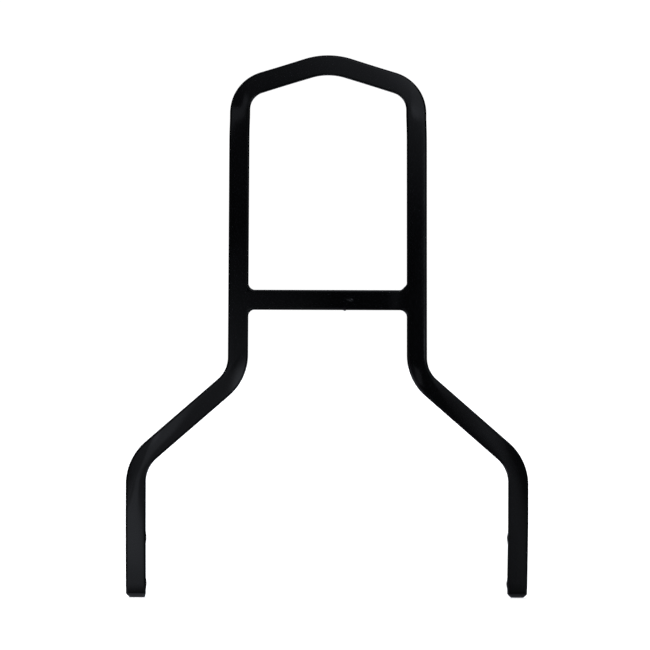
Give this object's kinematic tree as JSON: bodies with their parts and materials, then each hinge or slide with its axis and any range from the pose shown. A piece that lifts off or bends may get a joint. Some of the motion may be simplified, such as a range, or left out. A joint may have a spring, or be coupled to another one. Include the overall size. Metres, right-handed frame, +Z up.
{
  "type": "sissy bar",
  "caption": "Gloss black motorbike sissy bar upright: a square steel bar bent into a peaked hoop with flared legs, a welded cross bar and tapped bolt holes in the legs.",
  "frame": {"origin": "midway between the two leg ends, at the middle of the bar's thickness, on the level of the leg ends", "axes": "+X across the motorbike from the left leg to the right leg, +Y through the bar's thickness away from the front face, +Z up from the leg ends to the roof of the hoop"},
  "size_m": [0.262, 0.0126, 0.353],
  "materials": {
    "gloss_black_paint": "gloss"
  },
  "bodies": {
    "root": {"hoop": "gloss_black_paint", "cross_bar": "gloss_black_paint", "weld_left": "gloss_black_paint", "weld_right": "gloss_black_paint"}
  },
  "joints": []
}
